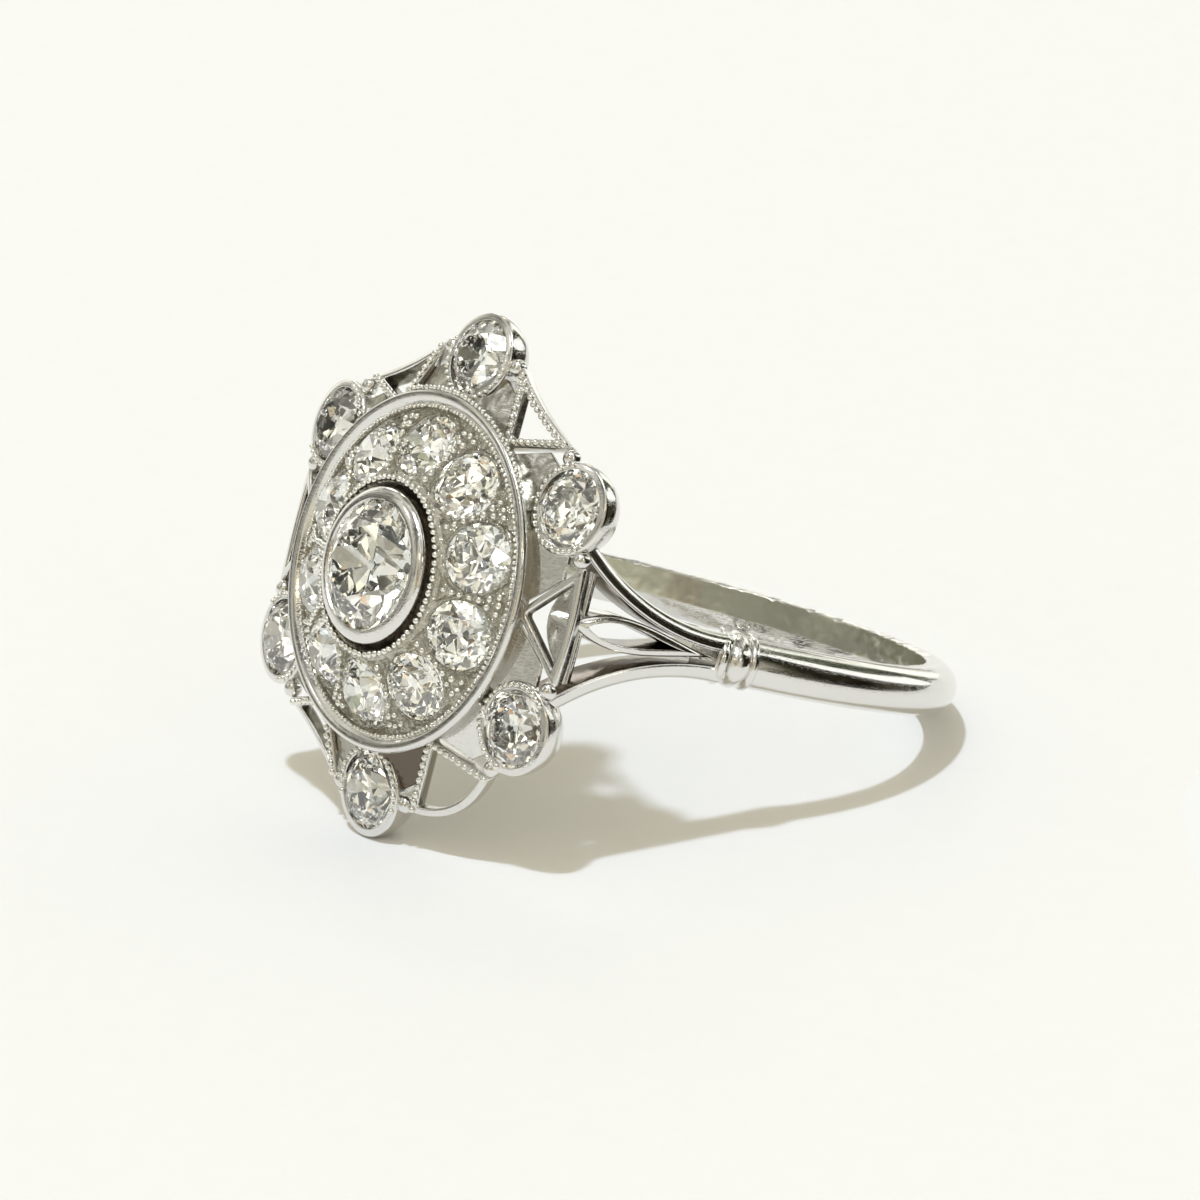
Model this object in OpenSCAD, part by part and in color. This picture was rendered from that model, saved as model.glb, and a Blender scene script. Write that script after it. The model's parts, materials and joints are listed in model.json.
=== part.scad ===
// Cluster ring lying as it rests: a raised, paved disc inside six collets, on a split-shouldered shank.
// It is drawn with x across the finger, y along the finger and z out through the face of the head,
// then turned so that its lowest collet and the back of its shank stand on the ground.

/* [Finger and shank] */
// Radius of the finger hole
finger_r = 8.6; // [8.3:0.1:9]
// Width of the shank along the finger
shank_w = 1.6; // [1.5:0.1:1.8]
// Thickness of the shank
shank_t = 1.2; // [1.1:0.1:1.4]
// Angle from the middle of the head to the middle of each collar, in degrees
collar_angle = 65; // [64:0.5:66]

/* [Shoulders] */
// Height above the finger's axis at which the three branches part
fork_z = 5; // [4.8:0.1:5.2]
// Width of the upper and lower branches
branch_w = 0.55; // [0.5:0.01:0.65]
// Depth of the branches, towards the finger
branch_t = 1.35; // [1.1:0.05:1.4]
// Half width of the leaf between the branches
leaf_half_w = 0.55; // [0.5:0.01:0.58]
// Width of the wire that the leaf is bent from
leaf_wire = 0.22; // [0.18:0.01:0.26]

/* [Collets] */
// Height of the collets' stones above the finger's axis
collet_z = 10.3; // [10.2:0.05:10.4]
// Distance from the middle of the head to the middle of each collet
collet_ring_r = 7.17; // [7.1:0.01:7.25]
// Outer radius of a collet
collet_r = 1.53; // [1.5:0.01:1.56]
// Depth of a collet below its stone's edge
collet_depth = 1; // [0.9:0.05:1.1]
// Outward lean of the collets, in degrees
collet_lean = 10; // [8:1:12]

/* [Disc] */
// Outer radius of the disc's rim
disc_r = 5.9; // [5.85:0.01:5.95]
// Height of the disc's rim above the finger's axis
disc_z = 11.3; // [11.2:0.05:11.4]
// Height of the centre bezel above the disc's rim
bezel_rise = 1.45; // [1.35:0.05:1.55]

/* [Stones] */
// Radius of the centre stone
centre_r = 2.17; // [2.1:0.01:2.2]
// Radius of a collet's stone
outer_r = 1.3; // [1.25:0.01:1.33]
// Radius of a stone in the paved ring
pave_r = 1.12; // [1:0.01:1.14]
// Number of stones in the paved ring
pave_count = 10; // [8:1:10]

/* [Hidden] */
collet_count = 6;
$fn = 96;
gap = 0.03;
through = 40;
metal = "gainsboro";
gem = "aliceblue";

// Shank: flat inside and round outside
crown_r = finger_r + shank_t - shank_w / 2;
shank_out = finger_r + shank_t;

// Collars: a broad ridge between two narrow ones
ridge_r = 0.36;
ridge_side_r = 0.16;
ridge_step = 3.3;
ridge_proud = 0.13;
ridge_over = 0.06;

// Shoulders: a band between two equal arcs, cut to the outline of the branches
shoulder_z = 4;
shoulder_low = 3.6;
flare_r = 26.5;
flare_z = -0.15;
flare_x = sqrt(pow(shank_out, 2) - pow(shoulder_z, 2)) - sqrt(pow(flare_r, 2) - pow(shoulder_z - flare_z, 2));
splay_r = 6.64;
branch_top = 9.95;
leaf_low = 5.1;
leaf_high = 9.9;
leaf_lean = 2;
leaf_eye_low = 6.3;
leaf_eye_high = 9.45;
leaf_steps = 24;

// Collets: round-bottomed cups, open behind
cup_top = 0.12;
rim_round = 0.06;
foot_bore_r = 0.95;
ledge_w = 0.12;
ledge_drop = 0.2;

// Disc: rim, sloping plate with the paved seats, and centre bezel
rim_w = 0.35;
drum_h = 0.75;
drum_foot_r = 5.65;
plate_t = 0.6;
plate_out = [disc_r - 0.65, disc_z - 0.2];
plate_in = [3, disc_z + 0.9];
plate_angle = atan2(plate_in.y - plate_out.y, plate_out.x - plate_in.x);
groove = [2.62, disc_z + 0.6];
bezel_top = disc_z + bezel_rise;
bezel_r = centre_r + 0.38;
bezel_foot = [centre_r - 0.9, disc_z - 0.3];
centre_z = bezel_top - 0.2;
pave_ring_r = (plate_out.x + plate_in.x) / 2;
pave_z = (plate_out.y + plate_in.y) / 2;
pave_sink = 0.08;
seat_depth = 0.9;
seat_foot_r = pave_r - 0.55;

// Frets: three-sided frames between the collets, rising to the drum.
// The two over the shoulders bow out a little and the one between collets 4 and 5 a lot, the other three bow in.
fret_at = [7.4, collet_z - 0.1];
fret_lean = 20;
fret_t = 0.45;
fret_deep = 2;
fret_half = 2;
fret_bow = 0.12;
fret_dip = -0.16;
fret_belly = 0.62;
fret_belly_hole = 0.97;
fret_bar = 0.3;
fret_steps = 8;
fret_side = norm([fret_deep, fret_half]);
fret_in_r = fret_half * fret_deep / (fret_half + fret_side);
bead_r = 0.3;
bead_at = [-0.25, 2.14];
bead_proud = 0.06;

// Webs: thin plates beside each fret, from its arms to the collets and the drum
web_t = 0.22;
web_low = 0.05;
web_outline = [[-2.1, 0.15], [-0.75, 1.35], [-0.75, 2.6], [-2.6, 2.6]];

// Bridges: a thin bar across each shoulder, under the fret
bridge_low = collet_z - 1;
bridge_t = 0.2;
bridge_in = 5.4;
bridge_in_end = 6.3;
bridge_out = 7.1;
bridge_half = 2.5;

// Stones: the parts of an old cut, as shares of its radius, and the slopes of its facets
table = 0.5;
girdle = 0.05;
main_slope = 36;
edge_slope = 41;
main_below = 41;
edge_below = 43.5;
culet = 0.08;
sixteenth = 22.5;
table_corner = table / cos(sixteenth);
table_h = girdle / 2 + (1 - table_corner) * tan(main_slope);
star_slope = 20.6;
culet_h = girdle / 2 + (1 - culet) * tan(main_below);

// Rest: the lowest collet's cup and the back of the shank touch the ground together
tilt = atan2(collet_ring_r, collet_z + crown_r)
    + asin((collet_r - shank_w / 2) / norm([collet_ring_r, collet_z + crown_r]));
lift = crown_r * sin(tilt) + shank_w / 2;
back_y = crown_r * cos(tilt) + shank_w / 2;
// The corner of the lowest stone's table stands furthest forward
corner_out = collet_ring_r + outer_r * (table_h * sin(collet_lean) + table_corner * cos(collet_lean));
corner_up = collet_z + outer_r * (table_h * cos(collet_lean) - table_corner * sin(collet_lean));
front_y = -corner_out * sin(tilt) - corner_up * cos(tilt);

module at_rest() {
    translate([0, -(front_y + back_y) / 2, lift]) rotate([90 - tilt, 0, 0]) children();
}

// Lays a turned shape's axis along the finger
module along_finger() {
    rotate([-90, 0, 0]) children();
}

// Places a child on the ring of collets, its axis leaning outwards
module on_collet(i) {
    rotate([0, 0, 90 + i * 360 / collet_count]) translate([collet_ring_r, 0, collet_z])
        rotate([0, collet_lean, 0]) children();
}

// Places a child on the paved slope, square to it
module on_plate(i) {
    rotate([0, 0, 90 + i * 360 / pave_count]) translate([pave_ring_r, 0, pave_z])
        rotate([0, plate_angle, 0]) children();
}

module shank() {
    along_finger() rotate([0, 0, collar_angle - 90]) rotate_extrude(angle = 360 - 2 * collar_angle)
        intersection() {
            translate([finger_r, -shank_w]) square([2 * shank_w, 2 * shank_w]);
            union() {
                translate([finger_r, -shank_w / 2]) square([crown_r - finger_r, shank_w]);
                translate([crown_r, 0]) circle(shank_w / 2);
            }
        }
}

// A round-ended ridge across a band of the given outer radius, turned from the head's axis
module ridge(r, band_r, turn) {
    half = shank_w / 2 + ridge_over - r;
    rotate([0, turn, 0]) translate([0, 0, band_r + ridge_proud - r]) {
        rotate([90, 0, 0]) cylinder(r = r, h = 2 * half, center = true);
        for (y = [-half, half]) translate([0, y, 0]) sphere(r);
    }
}

module collar() {
    ridge(ridge_r, shank_out, collar_angle);
    ridge(ridge_side_r, shank_out, collar_angle + ridge_step);
    upper_z = shank_out * cos(collar_angle - ridge_step);
    translate([flare_x, 0, flare_z]) ridge(ridge_side_r, flare_r, acos((upper_z - flare_z) / flare_r));
}

function leaf_half(t) = pow(sin(180 * pow(t, 1.7)), 0.75);

module leaf(low, high, half) {
    polygon([for (side = [1, -1]) for (k = [0 : leaf_steps - 1])
        let (t = (side > 0 ? k : leaf_steps - k) / leaf_steps)
            [side * half * leaf_half(t), low + t * (high - low)]]);
}

// Outline of the three branches, seen from the side of the ring
module fork() {
    for (s = [0, 1]) mirror([s, 0]) intersection() {
        translate([0, fork_z - 0.2]) square([splay_r, branch_top - fork_z + 0.2]);
        translate([shank_w / 2 + splay_r, fork_z]) difference() {
            circle(splay_r + branch_w);
            circle(splay_r);
        }
    }
    translate([-shank_w / 2, shoulder_low]) square([shank_w, fork_z + 0.45 - shoulder_low]);
    translate([0, leaf_low]) rotate(-leaf_lean) difference() {
        leaf(0, leaf_high - leaf_low, leaf_half_w);
        leaf(leaf_eye_low - leaf_low, leaf_eye_high - leaf_low, leaf_half_w - leaf_wire);
    }
}

module shoulder() {
    difference() {
        intersection() {
            rotate([90, 0, 90]) linear_extrude(2 * finger_r) fork();
            along_finger() translate([flare_x, -flare_z]) cylinder(r = flare_r, h = finger_r, center = true);
        }
        along_finger() translate([flare_x - branch_t, -flare_z]) cylinder(r = flare_r, h = through, center = true);
    }
}

module cup() {
    rotate_extrude() {
        intersection() {
            circle(collet_r);
            translate([foot_bore_r - 0.1, -collet_depth])
                square([collet_r, collet_depth + cup_top - rim_round]);
        }
        translate([collet_r - rim_round, cup_top - rim_round]) circle(rim_round);
        translate([outer_r, 0]) square([collet_r - rim_round - outer_r, cup_top]);
    }
}

module cup_bore() {
    rotate_extrude() polygon([
        [0, -2 * collet_depth],
        [foot_bore_r, -2 * collet_depth],
        [foot_bore_r, -collet_depth],
        [outer_r - ledge_w, -ledge_drop],
        [outer_r + gap, -girdle],
        [outer_r + gap, 1],
        [0, 1]]);
}

module disc() {
    under = plate_t * [sin(plate_angle), cos(plate_angle)];
    rotate_extrude() polygon([
        [drum_foot_r, disc_z - drum_h],
        [disc_r, disc_z - 0.12],
        [disc_r - 0.08, disc_z],
        [disc_r - rim_w, disc_z - 0.02],
        plate_out,
        plate_in,
        [plate_in.x - 0.08, plate_in.y + 0.12],
        [plate_in.x - 0.25, plate_in.y + 0.12],
        groove,
        [bezel_r, bezel_top - 0.1],
        [bezel_r - 0.1, bezel_top],
        [centre_r + gap, bezel_top - 0.05],
        [centre_r + gap, centre_z - 0.08],
        [centre_r - 0.15, centre_z - 0.32],
        bezel_foot,
        bezel_foot + [0.5, 0],
        plate_in - under,
        plate_out - under]);
}

module pave_seat() {
    edge_z = -pave_sink - girdle;
    rotate_extrude() polygon([
        [0, edge_z - seat_depth],
        [seat_foot_r, edge_z - seat_depth],
        [pave_r + gap, edge_z],
        [pave_r + gap, 1],
        [0, 1]]);
}

module fret_outline(bow) {
    polygon([[-fret_deep, 0], for (k = [-fret_steps : fret_steps])
        let (t = k / fret_steps) [bow * (1 - t * t), fret_half * t]]);
}

// The opening is an outline drawn smaller about the middle of the circle that touches all three sides
module fret(bow, hole_bow) {
    translate([fret_at.x, 0, fret_at.y]) rotate([0, fret_lean, 0]) translate([0, 0, -fret_t]) {
        linear_extrude(fret_t) difference() {
            fret_outline(bow);
            translate([-fret_in_r, 0]) scale(1 - fret_bar / fret_in_r)
                translate([fret_in_r, 0]) fret_outline(hole_bow);
        }
        for (s = [0, 1]) mirror([0, s]) {
            translate(bead_at) cylinder(r = bead_r, h = fret_t + bead_proud);
            translate([0, 0, web_low]) linear_extrude(web_t) polygon(web_outline);
        }
    }
}

module bridge() {
    translate([0, 0, bridge_low]) linear_extrude(bridge_t) polygon([
        for (k = [-fret_steps : fret_steps])
            let (y = bridge_half * k / fret_steps) [min(bridge_in + y * y / 2, bridge_in_end), y],
        [bridge_out, bridge_half],
        [bridge_out, -bridge_half]]);
}

module mount_metal() {
    difference() {
        union() {
            shank();
            disc();
            for (s = [0, 1]) mirror([s, 0]) {
                collar();
                shoulder();
                bridge();
            }
            for (i = [0 : collet_count - 1]) {
                on_collet(i) cup();
                rotate([0, 0, i * 360 / collet_count])
                    if (i == 5) fret(fret_belly, fret_belly_hole);
                    else if (i % 3 == 0) fret(fret_bow, fret_bow);
                    else fret(fret_dip, fret_dip);
            }
        }
        along_finger() cylinder(r = finger_r, h = through, center = true);
        for (i = [0 : collet_count - 1]) on_collet(i) cup_bore();
        for (i = [0 : pave_count - 1]) on_plate(i) pave_seat();
    }
}

// Eight facets of one slope on a unit stone, reaching the given distance at the girdle
module facets(turn, slope, reach) {
    drop = 1.2;
    rotate([0, 0, turn + sixteenth]) translate([0, 0, girdle / 2 - drop])
        cylinder(r1 = (reach + drop / tan(slope)) / cos(sixteenth), r2 = 0, h = drop + reach * tan(slope), $fn = 8);
}

// Old cut: table, stars, mains and edge facets above the girdle, mains and edge facets below it
module cut_stone(r) {
    star_reach = table + (table_h - girdle / 2) / tan(star_slope);
    edge_reach = cos(sixteenth / 2);
    scale(r) intersection() {
        translate([0, 0, -culet_h]) cylinder(r = 1, h = culet_h + table_h, $fn = 64);
        facets(0, main_slope, 1);
        facets(sixteenth, star_slope, star_reach);
        mirror([0, 0, 1]) facets(0, main_below, 1);
        facets(sixteenth / 2, edge_slope, edge_reach);
        facets(-sixteenth / 2, edge_slope, edge_reach);
        mirror([0, 0, 1]) facets(sixteenth / 2, edge_below, edge_reach);
        mirror([0, 0, 1]) facets(-sixteenth / 2, edge_below, edge_reach);
    }
}

module mount() color(metal) at_rest() mount_metal();

module centre_stone() color(gem) at_rest() translate([0, 0, centre_z]) cut_stone(centre_r);

module collet_stone(i) color(gem) at_rest() on_collet(i - 1) cut_stone(outer_r);

module pave_stone(i) color(gem) at_rest() on_plate(i - 1) translate([0, 0, -pave_sink]) cut_stone(pave_r);

mount();
centre_stone();
for (i = [1 : collet_count]) collet_stone(i);
for (i = [1 : pave_count]) pave_stone(i);
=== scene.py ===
# %% [markdown]
# # A cluster ring of old-cut diamonds
# The ring lies on a white table. Its lowest collet and the back of its shank carry it, so the head leans
# forwards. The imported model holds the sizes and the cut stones. Here the metal is made again with the soft
# edges, fine beading and carved seats that a jeweller leaves, and everything gets its finish.

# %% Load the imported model
import json
import math
import random

import bpy
import bmesh
import numpy as np
from mathutils import Matrix, Vector


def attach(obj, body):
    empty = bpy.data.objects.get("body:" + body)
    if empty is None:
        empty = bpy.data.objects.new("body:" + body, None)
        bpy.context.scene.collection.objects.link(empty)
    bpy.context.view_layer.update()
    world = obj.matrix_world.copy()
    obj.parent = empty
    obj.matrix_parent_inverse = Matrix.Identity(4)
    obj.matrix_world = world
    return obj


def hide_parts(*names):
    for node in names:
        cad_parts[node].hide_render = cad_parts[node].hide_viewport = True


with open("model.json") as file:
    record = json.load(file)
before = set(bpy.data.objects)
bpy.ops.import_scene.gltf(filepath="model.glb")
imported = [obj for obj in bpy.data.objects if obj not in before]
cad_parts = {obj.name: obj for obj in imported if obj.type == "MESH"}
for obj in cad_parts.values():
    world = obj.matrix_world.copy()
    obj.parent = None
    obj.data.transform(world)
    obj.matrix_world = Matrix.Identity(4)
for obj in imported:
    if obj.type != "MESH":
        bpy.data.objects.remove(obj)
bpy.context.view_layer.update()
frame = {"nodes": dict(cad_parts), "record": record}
random.seed(7)

# %% [markdown]
# ## The ring's own frame
# A jeweller thinks of a ring upright: across the finger, along the finger, and out through the face of the
# head. The finger hole in the record gives all three directions, although the ring lies tilted on the table.
# Every piece below is drawn in millimetres in that upright frame, and one matrix lays it down.

# %% Directions across, along and outward
MM = 0.001
hole = next(m for m in frame["record"]["mounts"] if m["name"] == "finger_hole")
finger_r = hole["dims"]["r_mm"]
finger_centre = Vector(hole["pos_m"])
across = Vector((1, 0, 0))
along = Vector(hole["axis"]).normalized()
outward = across.cross(along)
lay_down = (Matrix.Translation(finger_centre)
            @ Matrix((across, along, outward)).transposed().to_4x4()
            @ Matrix.Scale(MM, 4))
print("the finger's axis leans", round(math.degrees(along.angle(Vector((0, 0, 1)))), 2), "degrees")

# %% [markdown]
# ## Camera
# The photograph is a close-up from far enough away to look almost flat, so a long lens stands well back.
# The camera is placed from two angles, a small roll, and the shift that puts the ring where it lies in the
# picture.

# %% Place the camera
azimuth, elevation, roll = map(math.radians, (53.542, 19.232, -3.459))
distance = 300 * MM
view_width = 39.37 * MM
shift_right, shift_up = -2.19 * MM, 0.56 * MM

back = Vector((math.sin(azimuth) * math.cos(elevation),
               -math.cos(azimuth) * math.cos(elevation),
               math.sin(elevation)))
level = Vector((math.cos(azimuth), math.sin(azimuth), 0))
upright = back.cross(level)
right = level * math.cos(roll) + upright * math.sin(roll)
up = upright * math.cos(roll) - level * math.sin(roll)

camera_data = bpy.data.cameras.new("camera")
camera_data.sensor_width = 36
camera_data.lens = camera_data.sensor_width * distance / view_width
camera_data.clip_start = 0.01
camera = bpy.data.objects.new("camera", camera_data)
bpy.context.scene.collection.objects.link(camera)
camera.matrix_world = (
    Matrix.Translation(finger_centre + right * shift_right + up * shift_up + back * distance)
    @ Matrix((right, up, back)).transposed().to_4x4())
bpy.context.scene.camera = camera
print("lens", round(camera_data.lens, 1), "mm")

# %% [markdown]
# ## Shader helpers
# Every finish below is a tree of nodes. Wired one by one they would fill pages, so a few small helpers do it.
# The first two add a node with its inputs filled, and open a new material with its Principled BSDF.

# %% Helpers: add a node, open a material
def add(tree, kind, inputs=(), **settings):
    """Adds a node, sets its own settings, then fills or links the inputs given by name or number."""
    made = tree.nodes.new(kind)
    for key, value in settings.items():
        setattr(made, key, value)
    for key, value in dict(inputs).items():
        if isinstance(value, bpy.types.NodeSocket):
            tree.links.new(value, made.inputs[key])
        else:
            made.inputs[key].default_value = value
    return made


def new_material(name, **inputs):
    """A material whose Principled BSDF is returned with it."""
    material = bpy.data.materials.new(name)
    material.use_nodes = True
    shader = material.node_tree.nodes["Principled BSDF"]
    for key, value in inputs.items():
        shader.inputs[key.replace("_", " ")].default_value = value
    return material, material.node_tree, shader


print("helpers: add, new_material")

# %% [markdown]
# An effect that several finishes share is built once, as a node group with named inputs and outputs. These
# two open such a group and place it in a material, where it gets that material's own values.

# %% Helpers: open a group, place a group
def new_group(name, inputs, outputs):
    """An empty shader node group with named sockets, each given as name: (type, default)."""
    group = bpy.data.node_groups.new(name, "ShaderNodeTree")
    for key, (kind, default) in inputs.items():
        socket = group.interface.new_socket(key, in_out="INPUT", socket_type="NodeSocket" + kind)
        socket.default_value = default
    for key, kind in outputs.items():
        group.interface.new_socket(key, in_out="OUTPUT", socket_type="NodeSocket" + kind)
    return group, add(group, "NodeGroupInput").outputs, add(group, "NodeGroupOutput")


def place_group(tree, group, **inputs):
    """Puts a finished group in a material and sets its values."""
    placed = add(tree, "ShaderNodeGroup", node_tree=group)
    for key, value in inputs.items():
        placed.inputs[key.replace("_", " ")].default_value = value
    return placed.outputs


print("helpers: new_group, place_group")

# %% [markdown]
# Four kinds of node come again and again: a product of two values, a vector made longer, two colours mixed
# by a mask, and colours laid out along a value.

# %% Helpers: product, scaled, mixed, ramp
def product(tree, a, b):
    """One value times another."""
    return add(tree, "ShaderNodeMath", {0: a, 1: b}, operation="MULTIPLY").outputs[0]


def scaled(tree, vector, factor):
    """A vector or colour times a value."""
    return add(tree, "ShaderNodeVectorMath", {0: vector, "Scale": factor}, operation="SCALE").outputs[0]


def mixed(tree, mask, below, above, blend="MIX"):
    """The colour below where the mask is 0 and the one above where it is 1."""
    ends = {"Factor": mask, "A": below, "B": above}
    return add(tree, "ShaderNodeMix", ends, data_type="RGBA", blend_type=blend).outputs["Result"]


def ramp(tree, value, stops, interpolation="LINEAR"):
    """Colours by value: the stops are (position, colour) pairs, the first at 0 and the last at 1."""
    made = add(tree, "ShaderNodeValToRGB", {"Fac": value})
    band = made.color_ramp
    band.interpolation = interpolation
    band.elements[0].color = (*stops[0][1], 1)
    band.elements[1].color = (*stops[-1][1], 1)
    for position, colour in stops[1:-1]:
        band.elements.new(position).color = (*colour, 1)
    return made.outputs["Color"]


print("helpers: product, scaled, mixed, ramp")

# %% [markdown]
# ## Hand polish
# Platinum is buffed by hand and then worn. Close up its mirror is never flat: it ripples a little, fine
# hairlines cross it, and slow blotches are a shade darker. Noise in the object's own space makes all three
# without a picture or a seam. The group works in millimetres, because the objects' own coordinates are
# metres. It gives a height for a Bump node, a haze that raises the roughness and a mask of the blotches.

# %% Group: hand polish
polish, given, result = new_group(
    "hand_polish",
    {"Ripple": ("Float", 0.5), "Hairlines": ("Float", 0.5), "Grain per mm": ("Float", 1.0)},
    {"Height": "Float", "Haze": "Float", "Blotch": "Float"})
hairline_height, blotches_per_metre = 0.06, 400.0
place = add(polish, "ShaderNodeTexCoord").outputs["Object"]
grained = scaled(polish, scaled(polish, place, 1 / MM), given["Grain per mm"])
ripple = add(polish, "ShaderNodeTexNoise", {"Vector": grained, "Scale": 0.55, "Detail": 2.0})
drawn = add(polish, "ShaderNodeMapping",
            {"Vector": grained, "Rotation": (0.5, 0.3, 0.9), "Scale": (1.2, 9.0, 30.0)})
hairline = add(polish, "ShaderNodeTexNoise", {"Vector": drawn.outputs[0], "Scale": 1.4, "Detail": 4.0})
fine = add(polish, "ShaderNodeMapRange",
           {"Value": hairline.outputs["Fac"], "From Min": 0.52, "From Max": 0.72})
tall = product(polish, ripple.outputs["Fac"], given["Ripple"])
scratch = product(polish, fine.outputs[0], given["Hairlines"])
height = add(polish, "ShaderNodeMath", {0: tall, 1: product(polish, scratch, hairline_height)},
             operation="SUBTRACT").outputs[0]
blotch = add(polish, "ShaderNodeTexNoise",
             {"Vector": place, "Scale": blotches_per_metre, "Detail": 3.0}).outputs["Fac"]
for key, value in {"Height": height, "Haze": scratch, "Blotch": blotch}.items():
    polish.links.new(value, result.inputs[key])
print("group:", polish.name)

# %% [markdown]
# ## Platinum
# The same metal shows six finishes: the mirror outside, the beading that catches light in points, the dull
# inner face that rubs on the finger, the carved seats between the stones, a dark satin on webs and inner walls,
# and a near-black one. The satin's roughness is its finish, and its dark colour is partly painted shade. The
# near-black one is painted shade, for a few walls that look nearly black in the photograph. On the real ring
# that darkness may be only what they mirror. All six share the hand polish. Each has its own colour and
# roughness, and its own strength and fineness of ripple and hairlines.

# %% Make the metals
def platinum(name, colour, rough, haze, ripple, hairlines, depth, grain=1.0):
    """A platinum finish: haze is how much hairlines roughen it, depth the height of its ripple in mm."""
    material, tree, shader = new_material(name, Metallic=1.0)
    finish = place_group(tree, polish, Ripple=ripple, Hairlines=hairlines, Grain_per_mm=grain)
    rough_now = add(tree, "ShaderNodeMapRange",
                    {"Value": finish["Haze"], "To Min": rough, "To Max": rough + haze})
    darker = [blotch_tone * c for c in colour]
    bump = add(tree, "ShaderNodeBump", {"Strength": 1.0, "Distance": depth * MM, "Height": finish["Height"]})
    tree.links.new(mixed(tree, finish["Blotch"], (*colour, 1), (*darker, 1)), shader.inputs["Base Color"])
    tree.links.new(rough_now.outputs[0], shader.inputs["Roughness"])
    tree.links.new(bump.outputs[0], shader.inputs["Normal"])
    return material


blotch_tone = 0.93
mirror_platinum = platinum("mirror_platinum", (0.80, 0.79, 0.77), rough=0.03, haze=0.08,
                           ripple=0.6, hairlines=0.6, depth=0.05)
beaded_platinum = platinum("beaded_platinum", (0.86, 0.85, 0.80), rough=0.08, haze=0.12,
                           ripple=0.5, hairlines=0.4, depth=0.02, grain=3.0)
worn_platinum = platinum("worn_platinum", (0.64, 0.64, 0.55), rough=0.22, haze=0.06,
                         ripple=1.2, hairlines=0.12, depth=0.08, grain=1.7)
carved_platinum = platinum("carved_platinum", (0.64, 0.62, 0.55), rough=0.09, haze=0.15,
                           ripple=1.4, hairlines=0.8, depth=0.16, grain=5.5)
# Satin finish; its dark colour is partly painted shade for webs, inner walls and the drum.
satin_shade_platinum = platinum("satin_shade_platinum", (0.40, 0.385, 0.335), rough=0.2, haze=0.1,
                          ripple=1.4, hairlines=0.2, depth=0.12, grain=1.6)
# Painted shade: near-black metal for walls that lie in deep shade.
painted_shade_platinum = platinum("painted_shade_platinum", (0.15, 0.125, 0.10), rough=0.14, haze=0.1,
                           ripple=1.0, hairlines=0.3, depth=0.04, grain=1.5)
print("metals:", [m.name for m in bpy.data.materials])

# %% [markdown]
# ## Diamond
# Diamond bends light strongly, so most of what enters through the top is thrown back by the facets below.
# Plain refraction at its real index does that work. The group only colours the light a little: a faint body
# tint, a few soft clouds, and small patches of fire where white light would split.

# %% Group: light inside a stone
inner_light, given, result = new_group(
    "inner_light",
    {"Tint": ("Color", (1, 1, 1, 1)), "Fire": ("Float", 0.3), "Clouds": ("Float", 0.1)},
    {"Colour": "Color"})
white = (1, 1, 1)
place = add(inner_light, "ShaderNodeTexCoord").outputs["Object"]
cells = add(inner_light, "ShaderNodeTexVoronoi", {"Vector": place, "Scale": 2600.0})
pick = add(inner_light, "ShaderNodeSeparateColor", {"Color": cells.outputs["Color"]}).outputs["Red"]
hue = ramp(inner_light, pick, (
    (0, white), (0.70, (0.55, 0.72, 1)), (0.80, white), (0.86, (1, 0.86, 0.5)),
    (0.94, (1, 0.7, 0.5)), (0.96, white), (1, white)), "CONSTANT")
cloud = add(inner_light, "ShaderNodeTexNoise", {"Vector": place, "Scale": 1500.0, "Detail": 2.0})
veil = product(inner_light, cloud.outputs["Fac"], given["Clouds"])
colour = mixed(inner_light, given["Fire"], (*white, 1), hue)
colour = mixed(inner_light, 1.0, colour, given["Tint"], "MULTIPLY")
colour = mixed(inner_light, veil, colour, (0.6, 0.62, 0.6, 1))
inner_light.links.new(colour, result.inputs["Colour"])
print("group:", inner_light.name)

# %% [markdown]
# The large centre stone, the six of the collets and the ten of the disc differ a little in tint and fire, as
# far as the photograph tells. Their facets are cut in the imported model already. They keep that shape and only
# get their material here.

# %% Make the diamonds
def diamond(name, tint, fire, clouds):
    """Clear old-cut diamond. Its faces are flat, so it needs no bump: the facets do the work."""
    material, tree, shader = new_material(
        name, Metallic=0.0, Roughness=0.0, IOR=2.417, Transmission_Weight=1.0)
    light = place_group(tree, inner_light, Tint=(*tint, 1), Fire=fire, Clouds=clouds)
    tree.links.new(light["Colour"], shader.inputs["Base Color"])
    return material


diamonds = {"centre": diamond("centre_diamond", (0.99, 0.985, 0.94), fire=0.25, clouds=0.1),
            "collet": diamond("collet_diamond", (1.0, 1.0, 0.975), fire=0.25, clouds=0.03),
            "pave": diamond("pave_diamond", (0.985, 0.98, 0.945), fire=0.4, clouds=0.1)}
stones = [n for n in frame["nodes"] if n != "mount"]
for name in stones:
    mesh = frame["nodes"][name].data
    mesh.materials.clear()
    mesh.materials.append(diamonds[name.split("_")[0]])
print("stones:", len(stones))

# %% [markdown]
# ## Making metal from outlines
# Almost all of this ring is bent strip, turned section or small beads. A box with a bevel would do for a
# strip, but its section can't change along the way. So one helper skins a row of closed outlines, and another
# rounds their corners first: a polished edge has a small radius, which draws the bright line along it.

# %% Helpers: soften, skin
most_of_side = 0.48


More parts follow.
